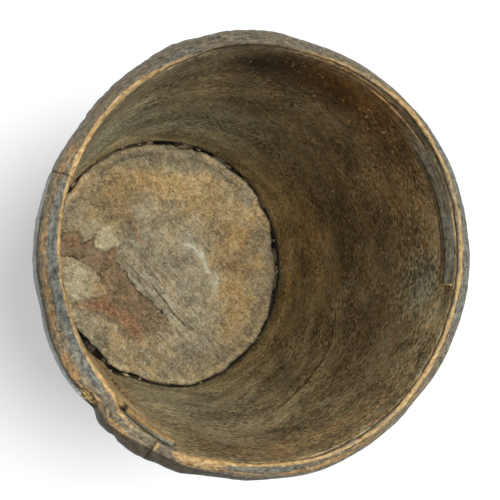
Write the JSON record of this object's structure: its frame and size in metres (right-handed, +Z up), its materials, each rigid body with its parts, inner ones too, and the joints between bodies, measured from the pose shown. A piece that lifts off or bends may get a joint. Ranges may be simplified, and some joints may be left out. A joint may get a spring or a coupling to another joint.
{
  "type": "rawhide bucket",
  "caption": "Round, slightly tapered bucket of thick rawhide with a lapped side seam, a sewn-in flanged bottom disc, a bound thick rim and a bent strip inside the mouth.",
  "frame": {"origin": "on the ground at the middle of the base, below the middle of the mouth", "axes": "+Z up from the ground to the mouth; +X and +Y across the mouth, with the lap seam at about 233 degrees from +X towards +Y"},
  "size_m": [0.3046, 0.2985, 0.3162],
  "materials": {
    "wall_hide": "dark brown rawhide with a fine grain round the wall, dull sheen",
    "disc_hide": "worn and flaking tan and grey rawhide, matt",
    "binding_hide": "grey-brown rawhide, golden where the edge is worn, half dull",
    "hoop_hide": "grey-brown rawhide, half dull",
    "thong_hide": "pale twisted rawhide, half dull",
    "packing_hide": "dark scrap hide, matt",
    "stems": "dry straw-coloured grass stems, matt"
  },
  "bodies": {
    "root": {"wall_sheet": "wall_hide", "seam_thong": "thong_hide", "base_disc": "disc_hide", "base_packing": "packing_hide", "base_thong": "thong_hide", "rim_core": "stems", "rim_binding_long": "binding_hide", "rim_binding_short": "binding_hide", "inner_hoop": "hoop_hide"}
  },
  "joints": []
}
